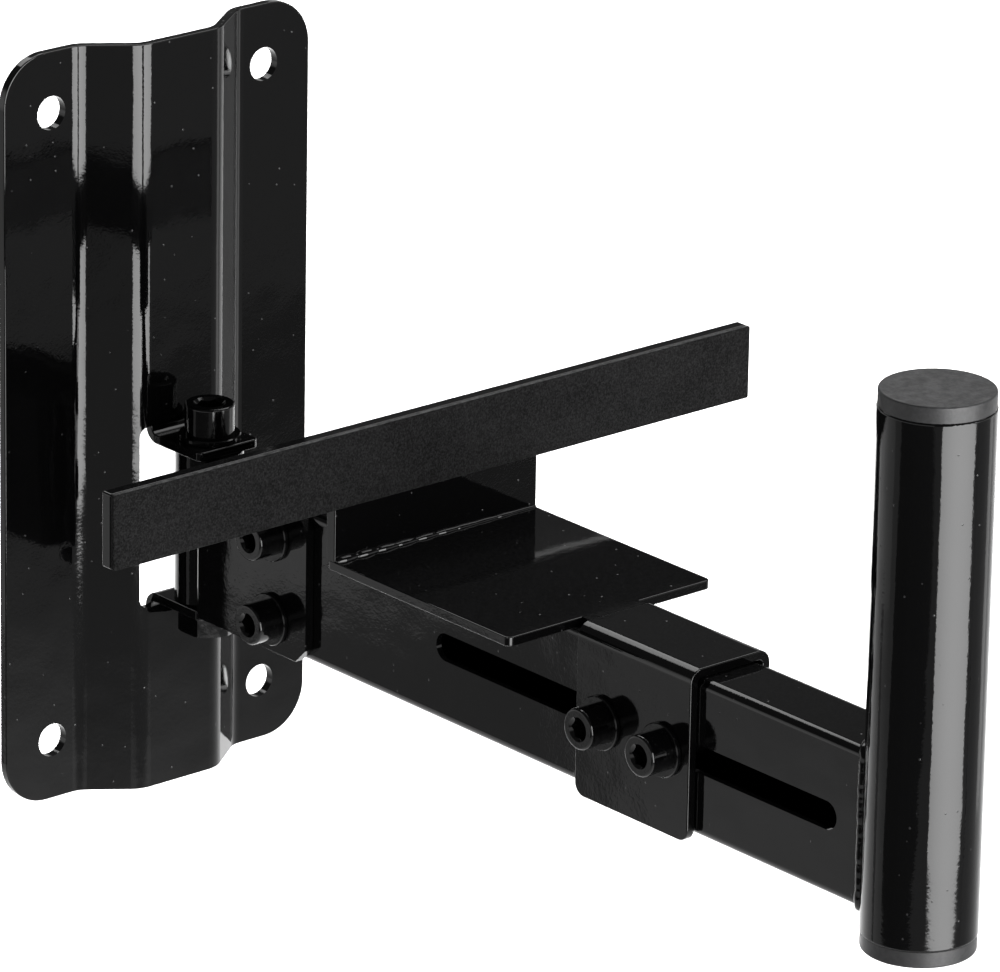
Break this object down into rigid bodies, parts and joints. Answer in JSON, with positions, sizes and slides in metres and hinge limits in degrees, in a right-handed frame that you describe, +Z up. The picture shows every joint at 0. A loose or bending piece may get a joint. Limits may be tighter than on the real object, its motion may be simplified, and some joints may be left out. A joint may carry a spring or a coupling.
{
  "type": "speaker wall bracket",
  "caption": "Swivel wall bracket with a slotted arm, an upright speaker pole and a sliding padded back support.",
  "frame": {"origin": "centre of the four wall holes, on the wall plane", "axes": "+X out from the wall along the arm, +Y along the wall, +Z up"},
  "size_m": [0.378, 0.254, 0.25],
  "materials": {
    "black_coat": "glossy black powder coat",
    "black_steel": "black zinc, glossy",
    "cap_plastic": "matt black plastic",
    "pad_rubber": "matt fine-grained rubber"
  },
  "bodies": {
    "wall_mount": {"wall_plate": "black_coat", "pivot_bolt": "black_steel", "pivot_washer": "black_steel", "pivot_nut": "black_steel"},
    "arm": {"hinge_barrel": "black_coat", "yoke": "black_coat", "arm_tube": "black_coat", "pole_tube": "black_coat", "pole_cap_top": "cap_plastic", "pole_cap_bottom": "cap_plastic", "yoke_upper_bolt": "black_steel", "yoke_upper_head_washer": "black_steel", "yoke_upper_nut_washer": "black_steel", "yoke_upper_nut": "black_steel", "yoke_lower_bolt": "black_steel", "yoke_lower_head_washer": "black_steel", "yoke_lower_nut_washer": "black_steel", "yoke_lower_nut": "black_steel"},
    "support": {"saddle_bracket": "black_coat", "support_plate": "black_coat", "support_pad": "pad_rubber", "clamp_rear_bolt": "black_steel", "clamp_rear_head_washer": "black_steel", "clamp_rear_nut_washer": "black_steel", "clamp_rear_nut": "black_steel", "clamp_front_bolt": "black_steel", "clamp_front_head_washer": "black_steel", "clamp_front_nut_washer": "black_steel", "clamp_front_nut": "black_steel"}
  },
  "joints": [
    {"name": "arm_swivel", "type": "hinge", "parent": "wall_mount", "child": "arm", "pos_m": [0.0295, 0, -0.0325], "axis": [0, 0, 1], "range_deg": [-30, 30]},
    {"name": "support_slide", "type": "slide", "parent": "arm", "child": "support", "axis": [1, 0, 0], "range_m": [-0.063, 0.06]}
  ]
}
